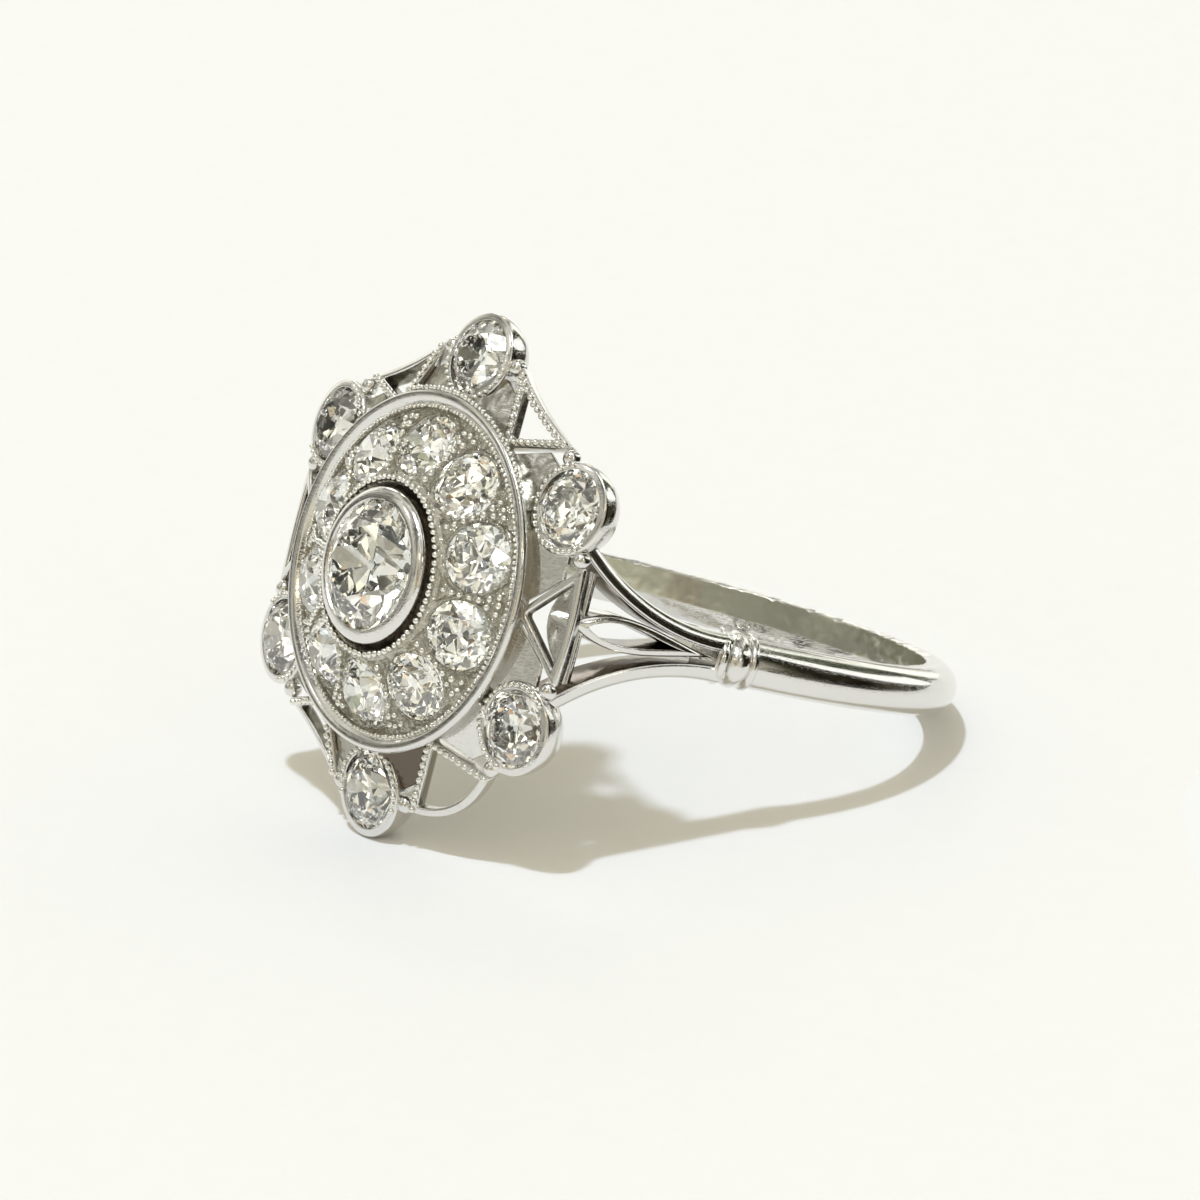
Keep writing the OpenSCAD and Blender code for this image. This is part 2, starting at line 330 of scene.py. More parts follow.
def soften(corners, radius, steps=4):
    """Rounds the corners of a closed outline. The radius may be one number or one for each corner."""
    outline = []
    radii = radius if isinstance(radius, (list, tuple)) else [radius] * len(corners)
    points = [Vector(c) for c in corners]
    for i, corner in enumerate(points):
        if radii[i] == 0:
            outline.append(tuple(corner))
            continue
        before = points[i - 1] - corner
        after = points[(i + 1) % len(points)] - corner
        start = corner + before.normalized() * min(radii[i], most_of_side * before.length)
        end = corner + after.normalized() * min(radii[i], most_of_side * after.length)
        for k in range(steps + 1):
            t = k / steps
            outline.append(tuple(start.lerp(corner, t).lerp(corner.lerp(end, t), t)))
    return outline


def skin(sections, loop=False):
    """Joins closed outlines of the same number of points, with flat ends unless they form a loop."""
    size = len(sections[0])
    points = [p for section in sections for p in section]
    faces = []
    for i in range(len(sections) - (0 if loop else 1)):
        a = i * size
        b = (i + 1) % len(sections) * size
        faces += [(a + k, a + (k + 1) % size, b + (k + 1) % size, b + k) for k in range(size)]
    if not loop:
        faces.append(tuple(range(size)))
        faces.append(tuple(range(len(points) - size, len(points))))
    return points, faces


soft_square = soften([(1, 0), (2, 0), (2, 1), (1, 1)], 0.1)
print("points round a softened square:", len(soft_square))

# %% [markdown]
# A cup, a rim or a bezel is a section turned on a lathe. That is a skin too, whose outlines stand round an
# axis. A finished part then moves to its place as a whole.

# %% Helpers: turned, moved, spin
def turned(profile, steps=144):
    """A closed outline of (radius, height) points turned about the height axis."""
    angles = [2 * math.pi * k / steps for k in range(steps)]
    return skin([[(r * math.cos(a), r * math.sin(a), h) for r, h in profile] for a in angles], loop=True)


def moved(part, matrix):
    """The same part, its points carried by a matrix."""
    points, faces = part
    return [tuple(matrix @ Vector(p)) for p in points], faces


def spin(degrees, axis="Z"):
    """A turn about one axis."""
    return Matrix.Rotation(math.radians(degrees), 4, axis)


print("faces of that square turned to a ring:", len(turned(soft_square)[1]))

# %% [markdown]
# Every piece is joined from its parts, laid down on the table, and shaded smooth except where two faces meet
# sharply. It stands for the mount, which is one soldered solid, so it rides with it. Part of a piece may then
# take a second finish.

# %% Helpers: make a piece, refinish part of it
pieces = []
both_sides = {"right": Matrix.Diagonal((1, 1, 1, 1)), "left": Matrix.Diagonal((-1, 1, 1, 1))}


def piece(name, parts, material, crease=38):
    """One object from parts drawn in millimetres on the upright ring."""
    points, faces = [], []
    for part_points, part_faces in parts:
        faces += [[len(points) + i for i in face] for face in part_faces]
        points += part_points
    mesh = bpy.data.meshes.new(name)
    mesh.from_pydata(points, [], faces)
    mesh.transform(lay_down)
    mesh.materials.append(material)
    work = bmesh.new()
    work.from_mesh(mesh)
    bmesh.ops.recalc_face_normals(work, faces=work.faces)
    for face in work.faces:
        face.smooth = True
    for edge in work.edges:
        edge.smooth = edge.calc_face_angle(0) < math.radians(crease)
    work.to_mesh(mesh)
    work.free()
    made = bpy.data.objects.new(name, mesh)
    bpy.context.scene.collection.objects.link(made)
    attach(made, "root")
    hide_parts("mount")
    pieces.append(made)
    return made


def refinish(made, material, chosen):
    """Gives a second finish to the faces that chosen picks by number and middle, in ring millimetres."""
    made.data.materials.append(material)
    for face in made.data.polygons:
        if chosen(face.index, lay_down.inverted() @ face.center):
            face.material_index = 1


print("pieces so far:", len(pieces))

# %% [markdown]
# ## Beading
# Beading, or millegrain, is rolled along an edge with a small knurled wheel: a row of half-round beads, each
# pressed a little differently. Ball prongs over the paved stones are the same shape, larger. A bump could
# fake a row, but it would vanish from the outline. So every bead is a small ball, flattened and shifted by a
# few hundredths.

# %% Helpers: ball, beads
def ball(segments=10, rings=6):
    """Points and faces of a unit ball."""
    points = [(0, 0, 1), (0, 0, -1)]
    for j in range(1, rings):
        b = math.pi * j / rings
        points += [(math.sin(b) * math.cos(2 * math.pi * k / segments),
                    math.sin(b) * math.sin(2 * math.pi * k / segments), math.cos(b)) for k in range(segments)]
    faces = []
    for k in range(segments):
        n = (k + 1) % segments
        faces.append((0, 2 + k, 2 + n))
        faces.append((1, 2 + (rings - 2) * segments + n, 2 + (rings - 2) * segments + k))
        for j in range(rings - 2):
            a, b = 2 + j * segments, 2 + (j + 1) * segments
            faces.append((a + k, b + k, b + n, a + n))
    return points, faces


small_ball, smooth_ball, round_ball = ball(), ball(14, 9), ball(16, 10)


def beads(places, radius, uneven, model=small_ball):
    """One part with a bead at each place, every one a little different."""
    points, faces = [], []
    for place in places:
        size = [radius * random.uniform(1 - uneven, 1 + uneven) for _ in range(3)]
        start = len(points)
        shift = Vector([random.uniform(-1, 1) * uneven * radius * 0.5 for _ in range(3)])
        centre = Vector(place) + shift
        points += [tuple(centre + Vector((x * size[0], y * size[1], z * size[2]))) for x, y, z in model[0]]
        faces += [tuple(start + i for i in face) for face in model[1]]
    return points, faces


print("faces in a bead:", len(small_ball[1]))

# %% [markdown]
# ## Shank
# The shank is D-shaped wire: flat where it touches the finger and half-round outside. It is bent to a circle,
# and its ends run on a little under the collars. Inside, the photograph shows a dull upper half with a nicked
# edge and a bright strip below. That is taken for wear, so the lower half is rubbed round and stays polished.
# A swept curve would keep one section all the way, so the section is set out angle by angle, each with a nick
# of its own.

# %% Shank
shank_w, shank_t, collar_angle = 1.6, 1.2, 64.3
crown_r = finger_r + shank_t - shank_w / 2
shank_out = finger_r + shank_t
rubbed_from, rubbed_by, inner_edge_r, nick_depth = -0.14, 0.1, 0.1, 0.03
dome_steps, shank_steps, under_collar = 24, 248, 2
dome = [(crown_r + shank_w / 2 * math.sin(math.pi * k / dome_steps),
         -shank_w / 2 * math.cos(math.pi * k / dome_steps)) for k in range(dome_steps + 1)]

# The last corner only guides the rounding beside it and is dropped
inner_corners = [(finger_r, shank_w / 2), (finger_r, rubbed_from),
                 (finger_r + rubbed_by, -shank_w / 2), (crown_r, 0)]
d_section = dome + soften(inner_corners, [inner_edge_r, 0.04, inner_edge_r, 0])[:-1]
upper_edge = [r < finger_r + 0.05 and v > 0.6 for r, v in d_section]
sections = []
shank_end = collar_angle - under_collar
for k in range(shank_steps + 1):
    a = math.radians(shank_end + (360 - 2 * shank_end) * k / shank_steps)
    nick = max(0.0, random.gauss(0, nick_depth))
    sections.append([(r * math.sin(a), v - nick * at_edge, r * math.cos(a))
                     for (r, v), at_edge in zip(d_section, upper_edge)])
shank = piece("shank", [skin(sections)], mirror_platinum)


def dull_inside(i, at):
    """The flat upper part of the inner face."""
    return math.hypot(at.x, at.z) < finger_r + 0.012 and -0.2 < at.y < shank_w / 2 - 0.02


refinish(shank, worn_platinum, dull_inside)
print("shank faces:", len(shank.data.polygons))

# %% [markdown]
# ## Collars
# A collar of three reeds hides the solder where the shoulders meet the shank: one broad reed between two
# narrow ones. They could be one turned piece, but each reed fades at its ends. So each is a wire of its own,
# laid over the half-round and thickest in the middle.

# %% Collars
broad_r, narrow_r, reed_gap = 0.46, 0.15, 3.1
reed_steps, reed_sides, reed_reach = 28, 12, math.radians(118)


def reed(r, angle, proud):
    """A tapering wire over the band, at an angle from the middle of the head."""
    to_place = spin(90 - angle, "Y").inverted()
    rows = []
    for k in range(reed_steps + 1):
        t = -1 + 2 * k / reed_steps
        turn = t * reed_reach
        size = r * (0.35 + 0.65 * math.cos(t * math.pi / 2) ** 0.6)
        over = shank_w / 2 + proud - size
        low = min(0, math.pi / 2 - abs(turn))
        bend = max(-math.pi / 2, min(math.pi / 2, turn))
        radial = crown_r + over * math.cos(bend) + low * 0.8
        side = (shank_w / 2 + 0.12 - size) * math.sin(bend)
        middle = Vector((radial, side, 0))
        out = Vector((math.cos(bend), math.sin(bend), 0))
        ring = []
        for j in range(reed_sides):
            b = 2 * math.pi * j / reed_sides
            from_middle = out * (size * math.cos(b)) + Vector((0, 0, size * math.sin(b)))
            ring.append(tuple(to_place @ (middle + from_middle)))
        rows.append(ring)
    return skin(rows)


for name, mirror in both_sides.items():
    reeds = [reed(broad_r, collar_angle, 0.42),
             reed(narrow_r, collar_angle + reed_gap, 0.2),
             reed(narrow_r, collar_angle - reed_gap, 0.46)]
    piece("collar_" + name, [moved(r, mirror) for r in reeds], mirror_platinum)
print("collars at", collar_angle, "degrees from the head")

# %% [markdown]
# ## Shoulders
# The band above each collar is sawn into three: two branches splay to the collets, and between them a wire is
# bent into a leaf. All three are cut from one curved strip. A single helper makes a bar of that strip, so
# they share its outer arc and depth.

# %% The strip and a bar of it
root_z, fork_z, branch_w, branch_t = 4.0, 5, 0.55, 1.35
flare_r, flare_z = 26.5, -0.15
flare_x = math.sqrt(shank_out ** 2 - root_z ** 2) - math.sqrt(flare_r ** 2 - (root_z - flare_z) ** 2)


def strip_out(n):
    """How far across the strip's outer arc stands at a height above the finger's axis."""
    return flare_x + math.sqrt(flare_r ** 2 - (n - flare_z) ** 2)


def wall_section(crown, shed, thick, drop, edge=0.07):
    """A bar between two points (v, n) of the strip's outline: its outer face falls by drop towards shed."""
    crown, shed = Vector(crown), Vector(shed)
    middle, half = (crown + shed) / 2, (crown - shed) / 2
    size = half.length
    face = [(size * (1 - 2 * math.cos(a)), drop * (math.sin(a) - 1))
            for a in np.radians(np.linspace(90, 8, 9))]
    corners = [(-size, -drop), (-size, -thick), (size, -thick), (size, 0)]
    points = []
    for a, b in face[1:] + soften(corners, [0.02, edge, edge, edge], 3):
        v, n = middle + half * (a / size)
        points.append((strip_out(n) + b, v, n))
    return points


wall_size = len(wall_section((0, 5), (1, 5), branch_t, 0.2))
crown_wall = range(wall_size - 6, wall_size - 3)
print("shoulder strip stands", round(strip_out(fork_z), 2), "mm out at the fork")

# %% [markdown]
# Each branch leaves the fork straight and follows a quarter of a circle to its collet. Its outer face is
# rounded down towards the outside, like the half-round that it comes from.

# %% Branches
splay_r, branch_top, branch_foot, branch_drop, branch_steps = 6.64, 9.95, 0.35, 0.42, 32


def branch(sign):
    """The upper or lower branch, along a quarter of a circle from the fork to the collet."""
    rows = []
    for k in range(branch_steps + 1):
        n = fork_z - branch_foot + (branch_top - fork_z + branch_foot) * k / branch_steps
        a = math.asin((n - fork_z) / (splay_r + branch_w / 2))
        crown, shed = [(sign * (shank_w / 2 + splay_r - r * math.cos(a)), fork_z + r * math.sin(a))
                       for r in (splay_r + branch_w, splay_r)]
        rows.append(wall_section(crown, shed, branch_t, branch_drop))
    return skin(rows)


branches = {"upper": branch(1), "lower": branch(-1)}
print("faces in a branch:", len(branches["upper"][1]))

# %% [markdown]
# The leaf is one wire bent to a closed loop, pointed below and above, and leaning a little. Its outline and
# its opening follow the same rule with different sizes, so the wire thickens towards both tips.

# %% Leaf
leaf_low, leaf_high, leaf_eye_low, leaf_eye_high, leaf_lean = 5.1, 9.9, 6.3, 9.45, 2
leaf_half_w, leaf_wire, leaf_drop, leaf_steps = 0.55, 0.22, 0.14, 40


def leaf_point(t, side, low, high, half):
    """A point on a leaf outline, t from its lower tip to its upper tip."""
    width = math.sin(math.pi * t ** 1.7) ** 0.75 if 0 < t < 1 else 0
    point = Vector((side * half * width, low - leaf_low + t * (high - low)))
    return tuple(Matrix.Rotation(math.radians(-leaf_lean), 2) @ point + Vector((0, leaf_low)))


leaf_rows = []
for k in range(2 * leaf_steps):
    side = 1 if k < leaf_steps else -1
    t = (k if k < leaf_steps else 2 * leaf_steps - k) / leaf_steps
    eye_point = leaf_point(t, side, leaf_eye_low, leaf_eye_high, leaf_half_w - leaf_wire)
    rim_point = leaf_point(t, side, leaf_low, leaf_high, leaf_half_w)
    leaf_rows.append(wall_section(eye_point, rim_point, branch_t, leaf_drop, 0.05))
leaf_loop = skin(leaf_rows, loop=True)
print("faces in a leaf:", len(leaf_loop[1]))

# %% [markdown]
# The root is the short solid stretch between the collar and the fork, where the half-round of the shank
# flattens into the strip. With it each shoulder is complete. The walls that face into the fork and into the
# leaf's opening get the near-black metal, as painted shade.

# %% Roots, and both shoulders
flat_z = 5.3
root_rows = []
for n in np.linspace(root_z, fork_z + 0.05, 14):
    fall = float(np.interp(n, [root_z, flat_z], [shank_w / 2, branch_drop]))
    over = [(shank_w / 2 * math.sin(a), fall * (math.cos(a) - 1))
            for a in np.radians(np.linspace(-90, 90, 21))]
    under = [(shank_w / 2, -branch_t), (-shank_w / 2, -branch_t)]
    root_rows.append([(strip_out(n) + b, a, n) for a, b in over + under])
for name, mirror in both_sides.items():
    piece("root_" + name, [moved(skin(root_rows), mirror)], mirror_platinum, crease=50)
    bars = [piece(f"branch_{which}_{name}", [moved(bar, mirror)], mirror_platinum)
            for which, bar in branches.items()]
    bars.append(piece("leaf_" + name, [moved(leaf_loop, mirror)], mirror_platinum))
    for bar in bars:
        # Painted shade on the walls facing into the fork and the leaf's opening.
        refinish(bar, painted_shade_platinum, lambda i, at: i % wall_size in crown_wall)
print("pieces so far:", len(pieces))

# %% [markdown]
# ## Collets
# Each outer stone sits in a round cup, open behind. Outside it is a polished bowl, and its lip is burnished a
# little way over the stone. Such a cup is turned, so its section is drawn and turned here too. The side that
# faces the disc is beaded, and the outer side of the lip is left smooth.

# %% Collets
collet_count, collet_ring_r, collet_z, collet_lean = 6, 7.17, 10.3, 10
collet_r, collet_depth, cup_top, outer_r, gap = 1.53, 1.0, 0.12, 1.3, 0.03
bead_row_r, bead_row_half, bead_row_step = 1.39, 105, 10
bowl = [(collet_r * math.cos(a), collet_r * math.sin(a))
        for a in np.linspace(-math.asin(collet_depth / collet_r) + 0.05, 0.02, 14)]
lip = soften([(collet_r, 0.03), (collet_r - 0.02, cup_top + 0.02), (outer_r - 0.06, cup_top + 0.06),
              (outer_r + gap, -0.02), (outer_r + gap, -0.06)], [0, 0.09, 0.06, 0.02, 0], 4)
seat = [(outer_r - 0.12, -0.22), (0.97, -collet_depth + 0.04), (1.0, -collet_depth), (1.12, -collet_depth)]
cup = turned(bowl + lip + seat, 96)
bead_angles = np.radians(np.arange(180 - bead_row_half, 180 + bead_row_half + 0.1, bead_row_step))
bead_row = [(bead_row_r * math.cos(a), bead_row_r * math.sin(a), cup_top + 0.04) for a in bead_angles]
for k in range(collet_count):
    on_collet = (spin(90 + 360 / collet_count * k) @ Matrix.Translation((collet_ring_r, 0, collet_z))
                 @ spin(collet_lean, "Y"))
    piece(f"collet_{k + 1}", [moved(cup, on_collet)], mirror_platinum)
    piece(f"collet_beading_{k + 1}", [moved(beads(bead_row, 0.105, 0.2), on_collet)], beaded_platinum)
print("beads on a collet:", len(bead_row))

# %% [markdown]
# ## Frets
# Between the collets small three-sided frames are bent from flat wire. The point of each leans in to the
# disc. The outer wire differs: it bows out slightly over the shoulders (frets 1 and 4), bows in on frets 2, 3
# and 5, and swells out on fret 6. One outline with a bow of its own serves all six.

# %% A fret's outlines
fret_at, fret_lean, fret_t, deep_fret_t = (7.4, 10.2), 20, 0.45, 0.7
fret_deep, fret_half, fret_bar, plain_bar = 2, 2, 0.3, 0.24
plain_bow, beaded_bow, belly_bow = 0.12, -0.16, 0.62
belly_half, belly_fall = 1.55, 0.37
fret_in_r = fret_half * fret_deep / (fret_half + math.hypot(fret_deep, fret_half))
corner_radii = [0.22, 0.2] + [0] * 11 + [0.2]
opening_radii = [r * 0.6 for r in corner_radii]


def fret_outlines(bow, bar, belly=False):
    """The outer outline of a fret, its opening, and the middle line of its wire of width bar."""
    opening = 1 - bar / fret_in_r
    across_fret = np.linspace(-1, 1, 13)
    outer = [(-fret_deep, 0)] + [(bow * (1 - t * t), fret_half * t) for t in across_fret]
    inner = [((x + fret_in_r) * opening - fret_in_r, y * opening) for x, y in outer]
    if belly:
        inner[1:] = [(bow - bar - belly_fall * t * t, belly_half * t) for t in across_fret]
    middle = [tuple((Vector(a) + Vector(b)) / 2) for a, b in zip(outer, inner)]
    return soften(outer, corner_radii, 5), soften(inner, opening_radii, 5), middle


print("a fret's inscribed circle:", round(2 * fret_in_r, 2), "mm across")

# %% [markdown]
# Three more helpers turn outlines into metal: the wire between two outlines, a row of places for beads along
# a line, and a thin plate.

# %% Helpers: flat_wire, along_line, slab
def flat_wire(outer, inner, thick, edge):
    """A closed frame of rounded wire between two outlines, its top at height 0."""
    rows = []
    for one, other in zip(outer, inner):
        one, other = Vector(one), Vector(other)
        middle, half = (one + other) / 2, (one - other) / 2
        size = half.length
        box = soften([(size, 0), (size, -thick), (-size, -thick), (-size, 0)], edge, 4)
        rows.append([(*(middle + half * (a / size)), b) for a, b in box])
    return skin(rows, loop=True)


def along_line(points, pitch, height):
    """Places at an even pitch along a line of (x, y) points."""
    lengths = [math.dist(a, b) for a, b in zip(points, points[1:])]
    total = sum(lengths)
    count = max(2, round(total / pitch))
    far = np.cumsum([0] + lengths)
    return [(float(np.interp(s, far, [p[0] for p in points])),
             float(np.interp(s, far, [p[1] for p in points])), height)
            for s in np.linspace(0, total, count)]


def slab(outline, low, high, edge):
    """A flat plate with softened upper and lower edges."""
    middle = sum((Vector(p) for p in outline), Vector((0, 0))) / len(outline)
    rows = []
    for inset, height in ((edge, low), (0, low + edge), (0, high - edge), (edge, high)):
        ring = [Vector(p) - (Vector(p) - middle).normalized() * inset for p in outline]
        rows.append([(q.x, q.y, height) for q in ring])
    return skin(rows)


web_outline = [(-2.1, 0.15), (-0.75, 1.35), (-0.75, 2.6), (-2.6, 2.6)]
both_webs = [slab([(x, s * y) for x, y in web_outline], -0.40, -0.18, 0.03) for s in (-1, 1)]
print("faces in the webs of a fret:", [len(faces) for points, faces in both_webs])

# %% [markdown]
# A ball closes each outer corner, where the fret touches two collets, and a thin web on each side reaches the
# collets and the disc. The plain frets stand over the shoulders. The other four have beaded arms, and fret 2
# a beaded outer wire too. The wire of fret 3 is deeper than the rest. The inner wall of each wire is painted
# shade: near-black on the plain frets and dark satin on the rest. The webs are dark satin, partly painted
# shade, but as they look in the photograph, both of fret 1 and one of fret 6 are bright and get the mirror,
# and the other of fret 6 is near-black, painted shade.

# %% Frets and webs
bead_r, bead_at, fret_bead_r, fret_bead_pitch = 0.3, (-0.25, 2.14), 0.13, 0.27
plain_shape, beaded_shape = (plain_bow, plain_bar), (beaded_bow, fret_bar)
belly_shape = (belly_bow, fret_bar, True)
wire_points, inner_wall, web_faces = 20, 14, len(both_webs[0][1])
polished_from = {1: 0, 6: web_faces}
for number in range(1, 7):
    base = (spin(60 * (number - 1)) @ Matrix.Translation((fret_at[0], 0, fret_at[1]))
            @ spin(fret_lean, "Y"))
    plain = number in (1, 4)
    shape = plain_shape if plain else belly_shape if number == 6 else beaded_shape
    outer, inner, middle_line = fret_outlines(*shape)
    wire = flat_wire(outer, inner, deep_fret_t if number == 3 else fret_t, 0.1)
    corner_balls = beads([(bead_at[0], s * bead_at[1], -0.16) for s in (-1, 1)], bead_r, 0.03, round_ball)
    fret = piece(f"fret_{number}", [moved(wire, base), moved(corner_balls, base)], mirror_platinum)
    # The wire's inner wall: painted shade, near-black on plain frets and dark satin on the rest.
    refinish(fret, painted_shade_platinum if plain else satin_shade_platinum,
             lambda i, at: i < wire_points * len(outer) and i % wire_points == inner_wall)
    # Webs: dark satin partly painted shade, near-black painted shade on fret 6, mirror where listed.
    web = piece(f"webs_{number}", [moved(w, base) for w in both_webs],
                painted_shade_platinum if number == 6 else satin_shade_platinum)
    refinish(web, mirror_platinum, lambda i, at: i >= polished_from.get(number, 2 * web_faces))
    if not plain:
        row = along_line([middle_line[-1], middle_line[0], middle_line[1]], fret_bead_pitch, 0.01)
        if number == 2:
            row += along_line([(x - 0.08, y) for x, y in middle_line[1:]], fret_bead_pitch, 0.01)
        piece(f"fret_beading_{number}", [moved(beads(row, fret_bead_r, 0.15), base)], beaded_platinum)
print("frets:", sum(p.name.startswith("fret_") and "bead" not in p.name for p in pieces))

# %% [markdown]
# ## Bridges
# Under each plain fret a thin bar joins the tops of the branches and the leaf to the drum of the disc. Its
# inner edge follows the drum, so it is a row of boxes that start further out towards its ends.

# %% Bridges
bridge_low, bridge_t, bridge_half = 9.3, 0.2, 2.5
bridge_in, bridge_in_end, bridge_out = 5.4, 6.3, 7.1
bridge_rows = []
for y in np.linspace(-bridge_half, bridge_half, 17):
    x = min(bridge_in + y * y / 2, bridge_in_end)
    box = soften([(x, 0), (bridge_out, 0), (bridge_out, bridge_t), (x, bridge_t)], 0.07, 3)
    bridge_rows.append([(a, y, bridge_low + b) for a, b in box])
for name, mirror in both_sides.items():
    piece("bridge_" + name, [moved(skin(bridge_rows), mirror)], mirror_platinum)
print("bridge:", 2 * bridge_half, "mm long")

# %% [markdown]
# ## Disc
# The disc is turned: a slightly drawn-in drum, a flat polished rim, and the bezel of the centre stone
# standing in a narrow groove. Each is a section turned round the middle of the head. The drum is left dark
# satin, partly painted shade under the rim, and the bezel's wall in the groove is near-black, painted shade.

# %% Rim, drum and centre bezel
disc_r, disc_z, rim_w, drum_h, drum_foot_r = 5.9, 11.3, 0.35, 0.75, 5.65
centre_r, bezel_rise = 2.17, 1.45
bezel_top, bezel_r = disc_z + bezel_rise, centre_r + 0.38
centre_z = bezel_top - 0.2
rim_section = soften(
    [(drum_foot_r, disc_z - drum_h), (disc_r, disc_z - 0.17), (disc_r - 0.06, disc_z),
     (disc_r - rim_w + 0.03, disc_z - 0.01), (5.3, disc_z - 0.24), (5.1, disc_z - drum_h - 0.02)],
    [0.06, 0.05, 0.14, 0.12, 0.05, 0.06], 7)
lip_r, lip_h = bezel_r - centre_r + 0.02, 0.26
bezel_lip = [(centre_r - 0.02 + lip_r * math.cos(a), bezel_top - lip_h + lip_h * math.sin(a))
             for a in np.radians(np.linspace(4, 90, 10))]
bezel_section = [(bezel_r + 0.07, disc_z + 0.55)] + bezel_lip + [
    (centre_r - 0.07, bezel_top - 0.05), (centre_r - 0.05, bezel_top - 0.09),
    (centre_r + gap, centre_z - 0.04), (centre_r + gap, centre_z - 0.1),
    (centre_r - 0.15, centre_z - 0.34), (centre_r - 0.9, disc_z - 0.3), (centre_r - 0.4, disc_z - 0.3)]
rim = piece("disc_rim", [turned(rim_section, 192)], mirror_platinum)
# The drum under the rim: dark satin, partly painted shade.
refinish(rim, satin_shade_platinum, lambda i, at: at.z < disc_z - 0.2)
bezel = piece("centre_bezel", [turned(bezel_section, 160)], mirror_platinum)
# The bezel's wall in the groove: near-black, painted shade.
refinish(bezel, painted_shade_platinum, lambda i, at: i % len(bezel_section) == 0)
print("disc", 2 * disc_r, "mm across, bezel top at", bezel_top)

# %% [markdown]
# ## Paved slope
# Ten stones ring the bezel on a sloping plate. The setter drills a seat for each, cuts the metal away between
# them, and raises small beads that hold the edges. Cutting ten cones from a solid would leave no carving. So
# the plate is a fine grid in rings and columns: each point is pushed down or up by its distance from the
# nearest stone, and the seats are cut right through.

# %% The slope's section and its stones' places
pave_count, pave_r, plate_t = 10, 1.12, 0.6
plate_out, plate_in = Vector((disc_r - 0.65, disc_z - 0.2)), Vector((3.0, disc_z + 0.9))
plate_angle = math.atan2(plate_in.y - plate_out.y, plate_out.x - plate_in.x)
slope_out = Vector((math.cos(plate_angle), -math.sin(plate_angle)))
slope_up = Vector((math.sin(plate_angle), math.cos(plate_angle)))
pave_middle = (plate_out + plate_in) / 2
crest = [(2.6, disc_z + 0.62), (2.68, disc_z + 0.92), (2.76, disc_z + 1.0), (2.9, disc_z + 1.0)]
section_r = [p[0] for p in crest] + [plate_in.x, plate_out.x, 5.42]
section_h = [p[1] for p in crest] + [plate_in.y, plate_out.y, disc_z - 0.22]


def seat_distance(radius, height, angle):
    """Distance of a point of the slope from the axis of the nearest paved stone."""
    step = 2 * math.pi / pave_count
    offset = (angle - math.pi / 2 + step / 2) % step - step / 2
    point = Vector((radius * math.cos(offset), height))
    return math.hypot((point - pave_middle).dot(slope_out), radius * math.sin(offset))


print("the plate slopes", round(math.degrees(plate_angle), 1), "degrees")

# %% [markdown]
# Seen across a seat, the metal goes steeply down inside the stone's edge, stands up in a thin ridge just
# outside it, and falls to the cut ground between the stones.

# %% Carve the grid
seat_r, seat_slope, hole_r = pave_r + gap, 0.9 / 0.58, 0.86
seat_drop, ridge_up, ridge_at, ridge_half, ground_drop, ground_from = 0.13, 0.05, 0.07, 0.06, 0.17, 0.22


def carving(d, radius):
    """How far the setter's work moves the surface at a distance d from a stone, along the slope's normal."""
    if d < seat_r:
        return -seat_drop - (seat_r - d) * seat_slope
    edge = d - seat_r
    ridge = ridge_up * math.exp(-((edge - ridge_at) / ridge_half) ** 2)
    between_stones = plate_in.x + 0.1 < radius < plate_out.x + 0.05
    return ridge + (-ground_drop * min(1.0, edge / ground_from) if between_stones else 0)


columns, rings = 400, 46
top, low, depth = [], [], []
for i in range(rings):
    r = section_r[0] + (section_r[-1] - section_r[0]) * i / (rings - 1)
    h = float(np.interp(r, section_r, section_h))
    for k in range(columns):
        angle = 2 * math.pi * (k + 0.5) / columns
        d = seat_distance(r, h, angle)
        depth.append(d)
        spot = Vector((r, h)) + slope_up * carving(max(d, hole_r), r)
        under = Vector((r, h)) - slope_up * plate_t
        top.append((spot.x * math.cos(angle), spot.x * math.sin(angle), spot.y))
        low.append((under.x * math.cos(angle), under.x * math.sin(angle), under.y))
print("points on the plate:", len(top))

# %% [markdown]
# The grid becomes a plate when it gets an underside and walls. Where a seat is drilled right through, the
# faces are left out above and below. An edge that only one face uses lies on a border, and there a wall
# joins the two sides.

# %% Close the plate round its holes
def cut_plate(top, low):
    """Faces above and below wherever the plate isn't drilled through, and a wall round each edge."""
    faces, border = [], {}
    for i in range(rings - 1):
        for k in range(columns):
            corners = [i * columns + k, i * columns + (k + 1) % columns,
                       (i + 1) * columns + (k + 1) % columns, (i + 1) * columns + k]
            if all(depth[c] < hole_r + 0.02 for c in corners):
                continue
            faces.append(tuple(corners))
            faces.append(tuple(c + len(top) for c in reversed(corners)))
            for a, b in zip(corners, corners[1:] + corners[:1]):
                border[(a, b)] = border.get((a, b), 0) + 1
    for a, b in border:
        if (b, a) not in border:
            faces.append((b, a, a + len(top), b + len(top)))
    used = sorted({i for face in faces for i in face})
    renumber = {old: new for new, old in enumerate(used)}
    points = top + low
    return [points[i] for i in used], [tuple(renumber[i] for i in face) for face in faces]


plate = cut_plate(top, low)
piece("paved_plate", [plate], carved_platinum, crease=50)
print("plate faces:", len(plate[1]))

# %% [markdown]
# The beads come last. Six small balls fill each outer corner between two stones and four each inner one. A
# fine row runs round the foot of the rim, another along the upper part of its outer edge, and one crowns the
# groove round the bezel.

# %% Beads of the disc
def on_slope(radius, degrees, lift=0.0):
    """A place on the slope, lifted along its normal."""
    h = float(np.interp(radius, section_r, section_h))
    spot = Vector((radius, h)) + slope_up * lift
    a = math.radians(degrees)
    return (spot.x * math.cos(a), spot.x * math.sin(a), spot.y)


